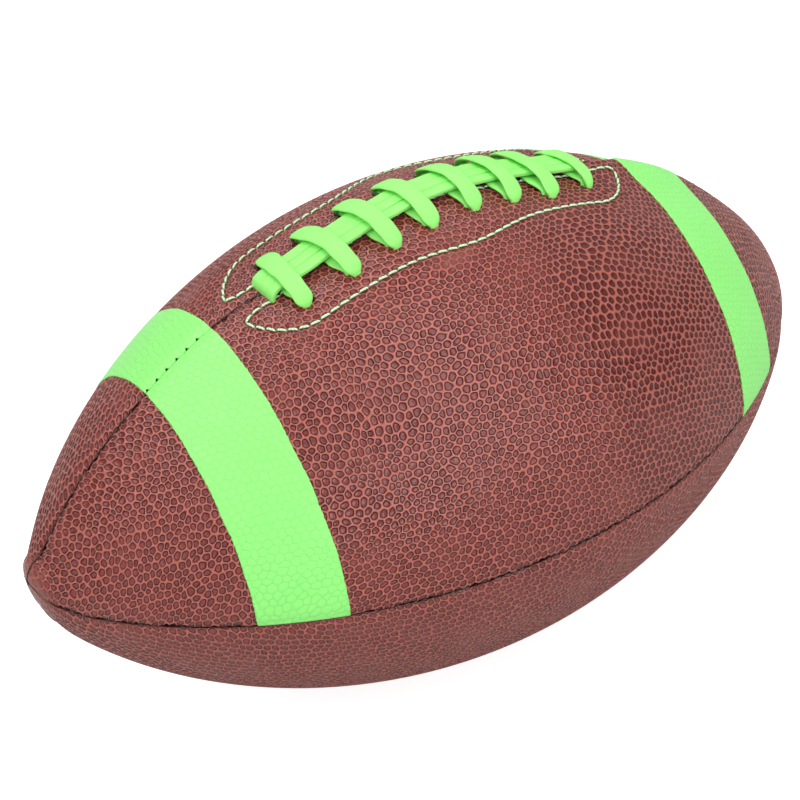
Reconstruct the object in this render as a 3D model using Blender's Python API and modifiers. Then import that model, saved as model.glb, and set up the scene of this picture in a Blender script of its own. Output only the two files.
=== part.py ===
"""An american football: four sewn cover panels with their linings, an inflated bladder
with its valve, two marker stripes at each end, and a lacing of eight turns over three
long strands, threaded through punched holes in the two upper panels. Drawn tight, the
lace pulls the cover in at both ends of the lacing.

The long axis lies along X, the lacing is on top, and the ball lies on its belly with
the origin at the middle of its underside. Sizes are in metres.
"""

import bpy
import bmesh
from math import acos, asin, atan2, cos, pi, radians, sin, sqrt
from mathutils import Matrix, Vector

# Overall form
BALL_LENGTH = 0.278
BALL_RADIUS = 0.0768
NOSE_POWER = 0.715
SEAM_CORNER = 0.0011
NOSE_LIFT = 0.0060
NOSE_RADIUS = 0.018
REST_FLAT_DEPTH = 0.0005

# Valley along the top seam, where the lace draws the cover in
VALLEY_DEPTH = 0.0026
VALLEY_PEAK_X = 0.045
VALLEY_END_X = 0.074
VALLEY_HALF_WIDTH = 0.024

# Clearances
GAP = 0.0003
FACET_ROOM = 0.00065

# Layers, from the outside in
COVER_THICKNESS = 0.0020
LINING_THICKNESS = 0.0008
PAD_THICKNESS = 0.0012
GUARD_THICKNESS = 0.0008
BLADDER_THICKNESS = 0.0009

# Seams and the pointed panel ends
SEAM_ROUND = 0.0022
PANEL_TIP_RADIUS = 0.0006
SKIVED_RADIUS = 0.012
LINING_END_RADIUS = 0.015

# Marker stripes, measured along the cover
STRIPE_WIDTH = 0.0254
STRIPE_FROM_NOSE = 0.0677
STRIPE_THICKNESS = 0.00025

# Lacing
LACE_TURNS = 8
LACE_PITCH = 0.0142
LACE_CENTRE_Y = -0.0010
LACE_WIDTH = 0.0068
LACE_THICKNESS = 0.0014
LACE_EDGE = 0.0004
LACE_BEND = 0.0009
HOLE_MIDDLE_Y = 0.0122
LEG_SPACING = 0.0020
HOLE_CLEARANCE = 0.00035
HOLE_CORNER = 0.0005
UNDER_FULLNESS = 9.0
OVER_FULLNESS = 2.8
STRAND_COUNT = 3
STRAND_WIDTH = 0.0031
STRAND_TUCK = 0.0012
MIDDLE_STRAND_RISE = 0.0003

# Pads and guard under the lacing, and the dent that they press into the bladder
PAD_PAST_TURN = 0.0148
PAD_OUTER_Y = 0.0225
PAD_INNER_Y = 0.0040
PAD_END_WIDTH = 0.0032
PAD_FULLNESS = 4.0
GUARD_PAST_TURN = 0.0183
GUARD_WIDTH = 0.034
DENT_END_MARGIN = 0.0068
DENT_END_FADE = 0.034
DENT_SIDE_MARGIN = 0.0045
DENT_SIDE_FADE = 0.0113

# Valve in the lower far panel
VALVE_X = 0.0
VALVE_STEM_RADIUS = 0.0040
VALVE_PLATE_RADIUS = 0.0070
VALVE_PLATE_THICKNESS = 0.0009
VALVE_TAIL_RADIUS = 0.0030
VALVE_TAIL_DEPTH = 0.0135
VALVE_BORE_RADIUS = 0.0007
VALVE_SUNK = 0.0004

# Facets
NOSE_ROWS = 5
STRIPE_STEPS = 2
BELLY_ROWS = 4
UPPER_COLUMNS = 7
LOWER_COLUMNS = 6
BLADDER_SEGMENTS = 20
BLADDER_RINGS = 12
UNDER_STEPS = 7
OVER_STEPS = 7
STRAND_STEPS = 8
TUCK_STEPS = 2
PAD_COLUMNS = 2
GUARD_ROWS = 12
GUARD_COLUMNS = 4
VALVE_SIDES = 12
NOSE_ARC_STEPS = 400
SMOOTH_ANGLE = radians(35)
ROUNDED_ANGLE = radians(50)
MERGE_DISTANCE = 0.00001
SLOPE_STEP = 0.001

# Worked out from the sizes above
HALF_LENGTH = BALL_LENGTH / 2
RADIUS_POWER = 2 * NOSE_POWER
QUARTER = pi / 4
TOP = pi / 2
LINING_DEPTH = COVER_THICKNESS + GAP
PAD_DEPTH = LINING_DEPTH + LINING_THICKNESS + GAP + FACET_ROOM
SEAM_ALLOWANCE = PAD_DEPTH + PAD_THICKNESS
INNER_LACE_DEPTH = SEAM_ALLOWANCE + GAP + FACET_ROOM
GUARD_DEPTH = INNER_LACE_DEPTH + LACE_THICKNESS + GAP
DENT_DEPTH = GUARD_DEPTH + GUARD_THICKNESS + GAP + FACET_ROOM
BLADDER_DEPTH = SEAM_ALLOWANCE + GAP
VALVE_PLATE_DEPTH = BLADDER_DEPTH - GAP
SEAM_RADIUS = BALL_RADIUS + SEAM_CORNER
CENTRE_HEIGHT = SEAM_RADIUS - REST_FLAT_DEPTH
LINING_EDGE = GAP / 2 + COVER_THICKNESS + GAP
SEAM_FACE_EDGE = GAP / 2 + SEAM_ROUND
LAST_TURN_X = LACE_PITCH * (LACE_TURNS - 1) / 2
HALF_PAD_LENGTH = LAST_TURN_X + PAD_PAST_TURN
HALF_GUARD_LENGTH = LAST_TURN_X + GUARD_PAST_TURN
HOLE_LENGTH = LACE_WIDTH + 2 * HOLE_CLEARANCE
HOLE_ACROSS = LEG_SPACING + LACE_THICKNESS + 2 * HOLE_CLEARANCE
INNER_LEG_Y = HOLE_MIDDLE_Y - LEG_SPACING / 2
OUTER_LEG_Y = HOLE_MIDDLE_Y + LEG_SPACING / 2
STRAND_HEIGHT = GAP + LACE_THICKNESS + GAP
OVER_HEIGHT = STRAND_HEIGHT + LACE_THICKNESS + MIDDLE_STRAND_RISE + GAP

PANELS = {
    "upper_far": QUARTER,
    "upper_near": 3 * QUARTER,
    "lower_near": 5 * QUARTER,
    "lower_far": 7 * QUARTER,
}


# Scene and objects

def clear_scene():
    for item in list(bpy.data.objects):
        bpy.data.objects.remove(item, do_unlink=True)


def make_collection(name):
    group = bpy.data.collections.new(name)
    bpy.context.scene.collection.children.link(group)
    return group


def make_material(name, colour, roughness):
    material = bpy.data.materials.new(name)
    material.use_nodes = True
    shader = material.node_tree.nodes["Principled BSDF"]
    shader.inputs["Base Color"].default_value = (*colour, 1.0)
    shader.inputs["Roughness"].default_value = roughness
    shader.inputs["Metallic"].default_value = 0.0
    material.diffuse_color = (*colour, 1.0)
    return material


def make_object(name, shape, look=None):
    """Turn a bmesh into an object of the ball, or into a cutter if it has no look."""
    mesh = bpy.data.meshes.new(name)
    shape.to_mesh(mesh)
    shape.free()
    item = bpy.data.objects.new(name, mesh)
    if look is None:
        cutters.objects.link(item)
        item.display_type = "WIRE"
        item.hide_render = True
    else:
        ball.objects.link(item)
        mesh.materials.append(make_material(name, *LOOKS[look]))
        mesh.shade_smooth()
        mesh.set_sharp_from_angle(angle=SMOOTH_ANGLE)
    item.parent = centre
    return item


def add_thickness(item, thickness, offset=-1.0, taper_group=""):
    shell = item.modifiers.new("thickness", "SOLIDIFY")
    shell.thickness = thickness
    shell.offset = offset
    shell.use_even_offset = True
    shell.use_quality_normals = True
    shell.vertex_group = taper_group


def round_edges(item, width):
    bevel = item.modifiers.new("rounding", "BEVEL")
    bevel.width = width
    bevel.segments = 1
    bevel.limit_method = "ANGLE"
    bevel.angle_limit = ROUNDED_ANGLE


def cut(item, cutter):
    boolean = item.modifiers.new("cut by " + cutter.name, "BOOLEAN")
    boolean.operation = "DIFFERENCE"
    boolean.solver = "EXACT"
    boolean.object = cutter


# Form of the ball

def share_of(value):
    """Value held between none and one."""
    return max(0.0, min(1.0, value))


def spread(first, last, count):
    return [first + (last - first) * i / count for i in range(count + 1)]


def tau_at_radius(radius):
    """Station angle at which the ball has this radius."""
    return acos((radius / BALL_RADIUS) ** (1 / RADIUS_POWER))


def tau_at_x(x):
    return asin(max(-1.0, min(1.0, x / HALF_LENGTH)))


def profile(tau):
    return HALF_LENGTH * sin(tau), BALL_RADIUS * cos(tau) ** RADIUS_POWER


def profile_normal(tau):
    along = BALL_RADIUS * RADIUS_POWER * sin(tau)
    outward = HALF_LENGTH * cos(tau) ** (2 - RADIUS_POWER)
    size = sqrt(along * along + outward * outward)
    return along / size, outward / size


def eased(value):
    share = share_of(value)
    return share * share * (3 - 2 * share)


def valley(x, y):
    """How far the lace draws the cover in, at a place along and across the top seam."""
    if abs(y) > VALLEY_HALF_WIDTH:
        return 0.0
    rise = eased(abs(x) / VALLEY_PEAK_X)
    fade = eased((VALLEY_END_X - abs(x)) / (VALLEY_END_X - VALLEY_PEAK_X))
    return VALLEY_DEPTH * rise * fade * cos(TOP * y / VALLEY_HALF_WIDTH) ** 2


def shell_point(tau, angle, depth=0.0, aside=0.0):
    """Point under the cover: a depth below it and a distance aside from the angle's plane."""
    x, radius = profile(tau)
    along, outward = profile_normal(tau)
    inner = radius - depth * outward
    if aside:
        angle += asin(aside / inner)
    corner = SEAM_CORNER * radius / BALL_RADIUS * cos(4 * angle)
    lift = NOSE_LIFT * share_of(1 - radius / NOSE_RADIUS) ** 2
    reach = inner + corner
    if sin(angle) > 0:
        reach -= valley(x, reach * cos(angle))
    return Vector((x - depth * along, reach * cos(angle), reach * sin(angle) + lift))


def skive(tau):
    """Share of the full thickness, less than one where the panels narrow to the nose."""
    return share_of(profile(tau)[1] / SKIVED_RADIUS)


def tau_from_nose(distance):
    """Station at a distance from the nose, measured along the cover."""
    travelled = 0.0
    before = profile(pi / 2)
    for tau in spread(pi / 2, 0.0, NOSE_ARC_STEPS)[1:]:
        here = profile(tau)
        travelled += sqrt((here[0] - before[0]) ** 2 + (here[1] - before[1]) ** 2)
        if travelled >= distance:
            return tau
        before = here
    return 0.0


def cover_stations(end_radius=PANEL_TIP_RADIUS):
    """Stations from nose to nose, with rows on both edges of each stripe."""
    half = (
        spread(tau_at_radius(end_radius), STRIPE_OUTER, NOSE_ROWS)
        + spread(STRIPE_OUTER, STRIPE_INNER, STRIPE_STEPS)[1:]
        + spread(STRIPE_INNER, 0.0, BELLY_ROWS)[1:]
    )
    return [-tau for tau in half] + half[-2::-1]


def panel_angles(radius, middle, edge):
    """Evenly spread angles across a panel, stopping at a distance from both seam planes."""
    trim = asin(edge / radius)
    columns = UPPER_COLUMNS if middle < pi else LOWER_COLUMNS
    return spread(middle + QUARTER - trim, middle - QUARTER + trim, columns)


def grid(rows):
    """Sheet through rows of points, made from a flat grid."""
    row_count = len(rows) - 1
    column_count = len(rows[0]) - 1
    shape = bmesh.new()
    bmesh.ops.create_grid(shape, x_segments=row_count, y_segments=column_count, size=1.0)
    for vertex in shape.verts:
        row = round((vertex.co.x + 1) / 2 * row_count)
        column = round((vertex.co.y + 1) / 2 * column_count)
        vertex.co = rows[row][column]
    return shape


# Cover

def cover_row(tau, middle):
    """Outer face of one panel at a station, with its seam allowances turned in."""
    share = skive(tau)
    turn = SEAM_ROUND * share
    half_gap = GAP / 2
    fold = [
        (half_gap, SEAM_ALLOWANCE * share),
        (half_gap, turn),
        (half_gap + turn * (1 - sin(QUARTER)), turn * (1 - cos(QUARTER))),
    ]
    high = [shell_point(tau, middle + QUARTER, depth, -aside) for aside, depth in fold]
    low = [shell_point(tau, middle - QUARTER, depth, aside) for aside, depth in fold]
    angles = panel_angles(profile(tau)[1], middle, half_gap + turn)
    return high + [shell_point(tau, angle) for angle in angles] + low[::-1]


def make_cover(place, middle):
    shape = grid([cover_row(tau, middle) for tau in cover_stations()])
    cover = make_object("cover_" + place, shape, "leather")
    group = cover.vertex_groups.new(name="skived ends")
    for vertex in cover.data.vertices:
        group.add([vertex.index], skive(tau_at_x(vertex.co.x)), "REPLACE")
    add_thickness(cover, COVER_THICKNESS, taper_group=group.name)
    return cover


def make_lining(place, middle):
    rows = []
    for tau in cover_stations(LINING_END_RADIUS):
        inner = profile(tau)[1] - (LINING_DEPTH + LINING_THICKNESS)
        angles = panel_angles(inner, middle, LINING_EDGE)
        rows.append([shell_point(tau, angle, LINING_DEPTH) for angle in angles])
    lining = make_object("lining_" + place, grid(rows), "lining")
    add_thickness(lining, LINING_THICKNESS)
    return lining


def make_stripe(end, side, place):
    middle = PANELS["upper_" + place]
    rows = []
    for tau in spread(STRIPE_OUTER, STRIPE_INNER, STRIPE_STEPS)[::-side]:
        angles = panel_angles(profile(tau)[1], middle, SEAM_FACE_EDGE)
        rows.append([shell_point(side * tau, angle, -GAP) for angle in angles])
    stripe = make_object(f"stripe_{end}_{place}", grid(rows), "stripe")
    add_thickness(stripe, STRIPE_THICKNESS, offset=1.0)


# Bladder and valve

def dent(x, angle):
    """How far the bladder is pressed in under the lacing, from none to one."""
    turned = abs(atan2(sin(angle - TOP), cos(angle - TOP)))
    past_end = abs(x) - HALF_GUARD_LENGTH - DENT_END_MARGIN
    past_side = turned * BALL_RADIUS - GUARD_WIDTH / 2 - DENT_SIDE_MARGIN
    return share_of(1 - past_end / DENT_END_FADE) * share_of(1 - past_side / DENT_SIDE_FADE)


def make_bladder():
    shape = bmesh.new()
    bmesh.ops.create_uvsphere(
        shape, u_segments=BLADDER_SEGMENTS, v_segments=BLADDER_RINGS, radius=1.0
    )
    for vertex in shape.verts:
        tau = asin(max(-1.0, min(1.0, vertex.co.z)))
        angle = atan2(vertex.co.y, vertex.co.x)
        pressed = dent(HALF_LENGTH * sin(tau), angle)
        depth = BLADDER_DEPTH + (DENT_DEPTH - BLADDER_DEPTH) * pressed
        vertex.co = shell_point(tau, angle, depth)
    bladder = make_object("bladder", shape, "bladder")
    add_thickness(bladder, BLADDER_THICKNESS)
    return bladder


def valve_frame():
    """Frame with Z along the valve, out of the cover, and its origin on the cover."""
    middle = PANELS["lower_far"]
    place = shell_point(tau_at_x(VALVE_X), middle)
    along, outward = profile_normal(tau_at_x(VALVE_X))
    direction = Vector((along, outward * cos(middle), outward * sin(middle)))
    turn = direction.to_track_quat("Z", "Y").to_matrix().to_4x4()
    return Matrix.Translation(place) @ turn


def make_valve():
    plate_bottom = -VALVE_PLATE_DEPTH - VALVE_PLATE_THICKNESS
    outline = [
        (VALVE_BORE_RADIUS, -VALVE_SUNK),
        (VALVE_STEM_RADIUS, -VALVE_SUNK),
        (VALVE_STEM_RADIUS, -VALVE_PLATE_DEPTH),
        (VALVE_PLATE_RADIUS, -VALVE_PLATE_DEPTH),
        (VALVE_PLATE_RADIUS, plate_bottom),
        (VALVE_TAIL_RADIUS, plate_bottom),
        (VALVE_TAIL_RADIUS, -VALVE_TAIL_DEPTH),
        (VALVE_BORE_RADIUS, -VALVE_TAIL_DEPTH),
    ]
    shape = bmesh.new()
    corners = [shape.verts.new((radius, 0.0, height)) for radius, height in outline]
    for i, corner in enumerate(corners):
        shape.edges.new((corner, corners[(i + 1) % len(corners)]))
    valve = make_object("valve", shape, "rubber")
    valve.matrix_local = valve_frame()
    turned = valve.modifiers.new("turned", "SCREW")
    turned.steps = VALVE_SIDES
    turned.render_steps = VALVE_SIDES
    turned.use_merge_vertices = True
    turned.merge_threshold = MERGE_DISTANCE


def make_round_cutter(name, radius, outside, inside):
    """Cylinder along the valve, from outside the cover's surface to inside it."""
    shape = bmesh.new()
    bmesh.ops.create_cone(
        shape, cap_ends=True, segments=VALVE_SIDES, radius1=radius, radius2=radius,
        depth=outside + inside,
    )
    cutter = make_object(name, shape)
    cutter.matrix_local = valve_frame() @ Matrix.Translation((0, 0, (outside - inside) / 2))
    return cutter


# Lacing

def turn_x(number):
    return -LAST_TURN_X + LACE_PITCH * (number - 1)


def turn_frame(x):
    """Frame of one lace turn: origin on the top seam, Z out of the ball, Y across."""
    before = shell_point(tau_at_x(x - SLOPE_STEP), TOP)
    slope = shell_point(tau_at_x(x + SLOPE_STEP), TOP) - before
    place = Matrix.Translation(shell_point(tau_at_x(x), TOP))
    return place @ Matrix.Rotation(-atan2(slope.z, slope.x), 4, "Y")


def lace_point(x, aside, y, height):
    """Point of the lace in its turn's frame, at a height over the cover."""
    across = y + LACE_CENTRE_Y
    tau = tau_at_x(x)
    fall = shell_point(tau, TOP, aside=-across).z - shell_point(tau, TOP).z
    return Vector((aside, across, height + fall))


def arch(reach, height, fullness, steps):
    """Arch as (across, height), which leaves one hole upright and enters the other so."""
    across = [-reach * cos(turn) for turn in spread(0.0, pi, steps)]
    return [(y, height * sqrt(share_of(1 - abs(y / reach) ** fullness))) for y in across]


def turn_path():
    """Middle line of one turn as (across, height): under the strands, back inside the
    ball, and over the strands."""
    half = LACE_THICKNESS / 2
    end = -SEAM_ALLOWANCE + GAP
    inside = -INNER_LACE_DEPTH - half
    under = arch(INNER_LEG_Y, GAP + half, UNDER_FULLNESS, UNDER_STEPS)
    over = arch(OUTER_LEG_Y, OVER_HEIGHT + half, OVER_FULLNESS, OVER_STEPS)
    back = [
        (INNER_LEG_Y, inside + LACE_BEND),
        (INNER_LEG_Y - LACE_BEND, inside),
        (0.0, inside),
        (LACE_BEND - OUTER_LEG_Y, inside),
        (-OUTER_LEG_Y, inside + LACE_BEND),
    ]
    return [(-INNER_LEG_Y, end)] + under + back + over + [(OUTER_LEG_Y, end)]


def make_turn(number):
    x = turn_x(number)
    edges = (-LACE_WIDTH / 2, LACE_WIDTH / 2)
    rows = [[lace_point(x, edge, y, height) for edge in edges] for y, height in turn_path()]
    turn = make_object(f"lace_turn_{number}", grid(rows), "lace")
    turn.matrix_local = turn_frame(x)
    add_thickness(turn, LACE_THICKNESS, offset=0.0)
    round_edges(turn, LACE_EDGE)


def strand_path(rise):
    """Middle line of a strand as (x, height): over the turns, bent down at both ends."""
    level = STRAND_HEIGHT + rise + LACE_THICKNESS / 2
    edge = LACE_WIDTH / 2 + GAP + LACE_THICKNESS / 2
    last = LAST_TURN_X + edge
    bend = [
        (STRAND_TUCK * sin(turn), (level - GAP) * (1 - cos(turn)))
        for turn in spread(0.0, pi / 2, TUCK_STEPS)[1:]
    ]
    start = [(-last - out, level - down) for out, down in bend[::-1]]
    finish = [(last + out, level - down) for out, down in bend]
    return start + [(x, level) for x in spread(-last, last, STRAND_STEPS)] + finish


def make_strand(number, middle_y, rise):
    """Long strand lying on the under passes, its ends tucked down to the cover."""
    edges = (middle_y - STRAND_WIDTH / 2, middle_y + STRAND_WIDTH / 2)
    rows = [
        [turn_frame(x) @ lace_point(x, 0.0, y, height) for y in edges]
        for x, height in strand_path(rise)
    ]
    strand = make_object(f"lace_strand_{number}", grid(rows), "lace")
    add_thickness(strand, LACE_THICKNESS, offset=0.0)
    round_edges(strand, LACE_EDGE)


def make_hole_cutter(name, side, corner):
    """Row of slots, one at each turn, on one side of the top seam."""
    shape = bmesh.new()
    depth = 2 * (DENT_DEPTH + LACE_THICKNESS)
    size = Matrix.Diagonal((HOLE_LENGTH, HOLE_ACROSS, depth, 1.0))
    middle = Matrix.Translation((0.0, LACE_CENTRE_Y + side * HOLE_MIDDLE_Y, 0.0))
    for number in range(1, LACE_TURNS + 1):
        place = turn_frame(turn_x(number)) @ middle
        slot = bmesh.ops.create_cube(shape, size=1.0, matrix=place @ size)
        if corner > 0:
            cut_corners(shape, slot["verts"], place.col[2].xyz, corner)
    return make_object(name, shape)


def cut_corners(shape, vertices, axis, width):
    """Chamfer the edges of a slot that run along an axis."""
    edges = {edge for vertex in vertices for edge in vertex.link_edges}
    upright = []
    for edge in edges:
        direction = (edge.verts[1].co - edge.verts[0].co).normalized()
        if abs(direction.dot(axis)) > cos(QUARTER):
            upright.append(edge)
    upright.sort(key=lambda edge: edge.index)
    bmesh.ops.bevel(
        shape, geom=upright, offset=width, offset_type="OFFSET", segments=1, affect="EDGES"
    )


def make_pad(place, side):
    """Pad between the lining and the bladder, narrow at both ends, on one side."""
    rows = []
    end = tau_at_x(HALF_PAD_LENGTH)
    stations = [tau for tau in cover_stations() if abs(tau) < end]
    for tau in [-end] + stations + [end]:
        share = abs(profile(tau)[0]) / HALF_PAD_LENGTH
        full = (PAD_OUTER_Y - PAD_INNER_Y) * sqrt(share_of(1 - share ** PAD_FULLNESS))
        across = spread(PAD_INNER_Y, PAD_INNER_Y + max(PAD_END_WIDTH, full), PAD_COLUMNS)
        points = [shell_point(tau, TOP, PAD_DEPTH, -side * y) for y in across]
        rows.append(points[::side])
    pad = make_object("lace_pad_" + place, grid(rows), "pad")
    add_thickness(pad, PAD_THICKNESS)
    return pad


def make_guard():
    across = spread(GUARD_WIDTH / 2, -GUARD_WIDTH / 2, GUARD_COLUMNS)
    rows = [
        [shell_point(tau_at_x(x), TOP, GUARD_DEPTH, y) for y in across]
        for x in spread(-HALF_GUARD_LENGTH, HALF_GUARD_LENGTH, GUARD_ROWS)
    ]
    guard = make_object("lace_guard", grid(rows), "pad")
    add_thickness(guard, GUARD_THICKNESS)


def make_rest_cutter():
    """Block under the ball that leaves the small flat that an inflated ball lies on."""
    shape = bmesh.new()
    size = BALL_RADIUS
    place = Matrix.Translation((0.0, 0.0, -CENTRE_HEIGHT - size / 2))
    bmesh.ops.create_cube(shape, size=size, matrix=place)
    return make_object("rest_cutter", shape)


# The ball

LOOKS = {
    "leather": ((0.30, 0.085, 0.055), 0.45),
    "lining": ((0.75, 0.73, 0.68), 0.90),
    "stripe": ((0.29, 1.0, 0.19), 0.45),
    "bladder": ((0.03, 0.03, 0.03), 0.50),
    "rubber": ((0.05, 0.045, 0.04), 0.55),
    "lace": ((0.29, 1.0, 0.19), 0.50),
    "pad": ((0.35, 0.25, 0.18), 0.85),
}

STRIPE_OUTER = tau_from_nose(STRIPE_FROM_NOSE)
STRIPE_INNER = tau_from_nose(STRIPE_FROM_NOSE + STRIPE_WIDTH)

clear_scene()
ball = make_collection("american_football")
cutters = make_collection("cutters")
centre = bpy.data.objects.new("ball_centre", None)
centre.location = (0.0, 0.0, CENTRE_HEIGHT)
ball.objects.link(centre)

covers = {place: make_cover(place, middle) for place, middle in PANELS.items()}
linings = {place: make_lining(place, middle) for place, middle in PANELS.items()}
for end, side in (("left", -1), ("right", 1)):
    make_stripe(end, side, "near")
    make_stripe(end, side, "far")

bladder = make_bladder()
make_valve()
stem_cutter = make_round_cutter(
    "valve_stem_cutter", VALVE_STEM_RADIUS + GAP, COVER_THICKNESS, BLADDER_DEPTH
)
tail_cutter = make_round_cutter(
    "valve_tail_cutter", VALVE_TAIL_RADIUS + GAP, GAP - BLADDER_DEPTH, 2 * VALVE_TAIL_DEPTH
)
cut(covers["lower_far"], stem_cutter)
cut(linings["lower_far"], stem_cutter)
cut(bladder, tail_cutter)

make_guard()
for place, side in (("near", -1), ("far", 1)):
    cut(covers["upper_" + place], make_hole_cutter("cover_holes_" + place, side, HOLE_CORNER))
    square_holes = make_hole_cutter("inner_holes_" + place, side, 0.0)
    cut(linings["upper_" + place], square_holes)
    cut(make_pad(place, side), square_holes)

for number in range(1, STRAND_COUNT + 1):
    offset = number - (STRAND_COUNT + 1) / 2
    rise = MIDDLE_STRAND_RISE if offset == 0 else 0.0
    make_strand(number, offset * (STRAND_WIDTH + GAP), rise)
for number in range(1, LACE_TURNS + 1):
    make_turn(number)

rest_cutter = make_rest_cutter()
cut(covers["lower_near"], rest_cutter)
cut(covers["lower_far"], rest_cutter)
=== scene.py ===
"""Look of the american football: grained leather panels, a soft coated lace, marker
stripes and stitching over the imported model, with the photograph's camera and light.
Sizes are in metres unless a name ends in _MM.
"""

import bpy
import bmesh
import random
import numpy as np
from math import atan2, cos, pi, radians, sin, sqrt
from mathutils import Matrix, Vector

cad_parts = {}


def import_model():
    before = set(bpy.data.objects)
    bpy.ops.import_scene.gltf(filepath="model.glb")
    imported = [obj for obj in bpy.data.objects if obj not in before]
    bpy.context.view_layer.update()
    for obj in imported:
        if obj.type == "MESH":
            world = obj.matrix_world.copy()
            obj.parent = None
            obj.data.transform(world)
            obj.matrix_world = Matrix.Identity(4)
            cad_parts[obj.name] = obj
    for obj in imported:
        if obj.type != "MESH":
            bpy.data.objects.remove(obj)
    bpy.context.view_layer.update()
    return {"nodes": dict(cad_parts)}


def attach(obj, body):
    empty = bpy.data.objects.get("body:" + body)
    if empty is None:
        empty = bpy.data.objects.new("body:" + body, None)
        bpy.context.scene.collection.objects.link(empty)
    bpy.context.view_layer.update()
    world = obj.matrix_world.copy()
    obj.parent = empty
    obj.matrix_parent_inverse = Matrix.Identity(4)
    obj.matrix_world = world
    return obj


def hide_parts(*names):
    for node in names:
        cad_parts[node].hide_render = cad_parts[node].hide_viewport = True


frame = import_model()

# Form of the ball, as in the part's source, apart from the two noses
HALF_LENGTH = 0.139
BALL_RADIUS = 0.0768
RADIUS_POWER = 1.43
SEAM_CORNER = 0.0011
NOSE_LIFT = 0.0060
NOSE_RADIUS = 0.018
NOSE_BLUNT = 0.0060
NOSE_BLUNT_RADIUS = 0.011
NOSE_SHORT = 0.0026
NOSE_SHORT_RADIUS = 0.020
CENTRE_HEIGHT = 0.0774
VALLEY_DEPTH = 0.0026
VALLEY_PEAK_X = 0.045
VALLEY_END_X = 0.074
VALLEY_HALF_WIDTH = 0.024
TIP_RADIUS = 0.0006
COVER_THICKNESS = 0.0020
SEAM_ALLOWANCE = 0.0060
SKIVED_RADIUS = 0.012
HALF_SEAM_GAP = 0.00015
QUARTER = pi / 4
TOP = pi / 2
PANELS = {
    "upper_far": QUARTER,
    "upper_near": 3 * QUARTER,
    "lower_near": 5 * QUARTER,
    "lower_far": 7 * QUARTER,
}

# The photograph's camera
CAMERA_TURN = radians(-32.853)
CAMERA_RISE = radians(36.331)
CAMERA_ROLL = radians(-3.684)
CAMERA_DISTANCE = 0.55503
LENS = 79.34
SENSOR = 36
SHIFT = (-0.0455, 0.01396)
WORLD_LIGHT = 0.103
FLOOR_HALF = 4.0
LAMP_DISTANCE = 1.1
# Soft boxes: turn from the front and rise, in degrees, then width in metres and power in watts
LAMPS = (
    (-90, 22, 0.5, 0.83), (-50, 20, 0.5, 1.08), (-12, 20, 0.5, 2.47), (22, 20, 0.5, 1.54),
    (95, 20, 0.6, 0.58), (150, 22, 0.6, 0.38),
    (-85, 48, 0.6, 2.12), (-35, 48, 0.6, 0.79), (12, 48, 0.6, 2.45), (55, 48, 0.6, 0.70),
    (110, 50, 0.7, 1.33), (165, 50, 0.7, 2.92), (-140, 50, 0.7, 3.13), (0, 78, 0.6, 2.71),
)

# Leather
ROWS, COLUMNS = ((468, 178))
SEAM_ROUND = 0.00048
SEAM_UNEVEN = 0.50
SEAM_PUFF = 0.00040
STITCH_FURROW = 0.00028
FOLD_STEPS = 8
VALVE_HOLE_RADIUS = 0.0043
BELLY_LEVEL = 0.00001
FOLD_SHADE = 0.9
LIP_RISE = 0.0020
LIP_FALL = 0.0014
LIP_FROM_X_MM = 50.0
LIP_TO_X_MM = 118.0
LIP_START_MM = 12.0
LIP_END_MM = 35.0
LIP_NEAR_SPAN_MM = 8.0
LIP_FAR_SPAN_MM = 16.0
PATCH_ARC_MM = -8.0
PATCH_ACROSS_MM = -33.0
PATCH_HALF_LENGTH_MM = 7.0
PATCH_HALF_WIDTH_MM = 3.0
PATCH_SHARE = 0.7
# Painted shade over the right of the near upper panel: where it starts and fades in, in mm along the ball,
# and how dark it gets
PAINTED_SHADE_FROM_MM = 8.0
PAINTED_SHADE_SPAN_MM = 14.0
PAINTED_SHADE_SHARE = 0.80
UPPER_PRESS = 0.97
LOWER_PRESS = 0.80
CELL_MM = 2.48
ROW_SPAN = sqrt(3)
CELL_STRAY = 0.21
CELL_UNEVEN = 0.10
CELL_ROUND_FROM = 0.28
CELL_ROUNDING = 0.5
RELIEF = 0.00034
RIDGE = 0.100
RIM_END = 0.150
FLOOR_EDGE = 0.180

# Marker stripes, as stations along the ball
STRIPE_OUTER_X = 0.09455
STRIPE_INNER_X = 0.07216
FILM = 0.00016
FILM_UNDERSIDE = 0.0004
FILM_LENGTH_MM = 70.0
FILM_WANDER_MM = 0.05
NEAR_LEAN_MM = 2.2
NEAR_LEAN_SPAN_MM = 9.0
FAR_SHIFT_SPAN_MM = 14.0
FAR_INNER_MM = 4.0
FAR_OUTER_MM = -0.5
TICK_PITCH_MM = 3.91
TICK_COUNT = 6
TICK_SHIFT_MM = 2.0
TICK_DEPTH_MM = 1.1
TICK_HALF_WIDTH_MM = 0.62
PIT_DEPTH = 0.0011
PIT_SPAN_MM = 1.3
FILM_TRIM_MM = 0.004

# Lacing: the main sizes as in the part's source, the rest as the photograph shows
LACE_TURNS = 8
LACE_PITCH = 0.0142
LACE_CENTRE_Y = -0.0010
LACE_WIDTH = 0.0068
LACE_THICKNESS = 0.0014
INNER_LEG_Y = 0.0112
OUTER_LEG_Y = 0.0132
STRAND_HEIGHT = 0.0020
OVER_HEIGHT = 0.0040
INNER_LACE_DEPTH = 0.0070
UNDER_FULLNESS = 9.0
STRAND_SPACING = 0.0038
MIDDLE_STRAND_RISE = 0.0001
LAST_TURN_X = LACE_PITCH * (LACE_TURNS - 1) / 2
HOLE_WIDTH = 0.0034
HOLE_LENGTH = 0.0032
HOLE_INSET = 0.0016
SLOT_DEPTH = 0.014
FAR_SHORTER = -0.0009
NEAR_TIP = 0.0030
LAST_NEAR_TIP = 0.0072
FAR_TIP = 0.0070
NEAR_TIP_SHARE = 0.52
FAR_TIP_SHARE = 0.34
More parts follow.
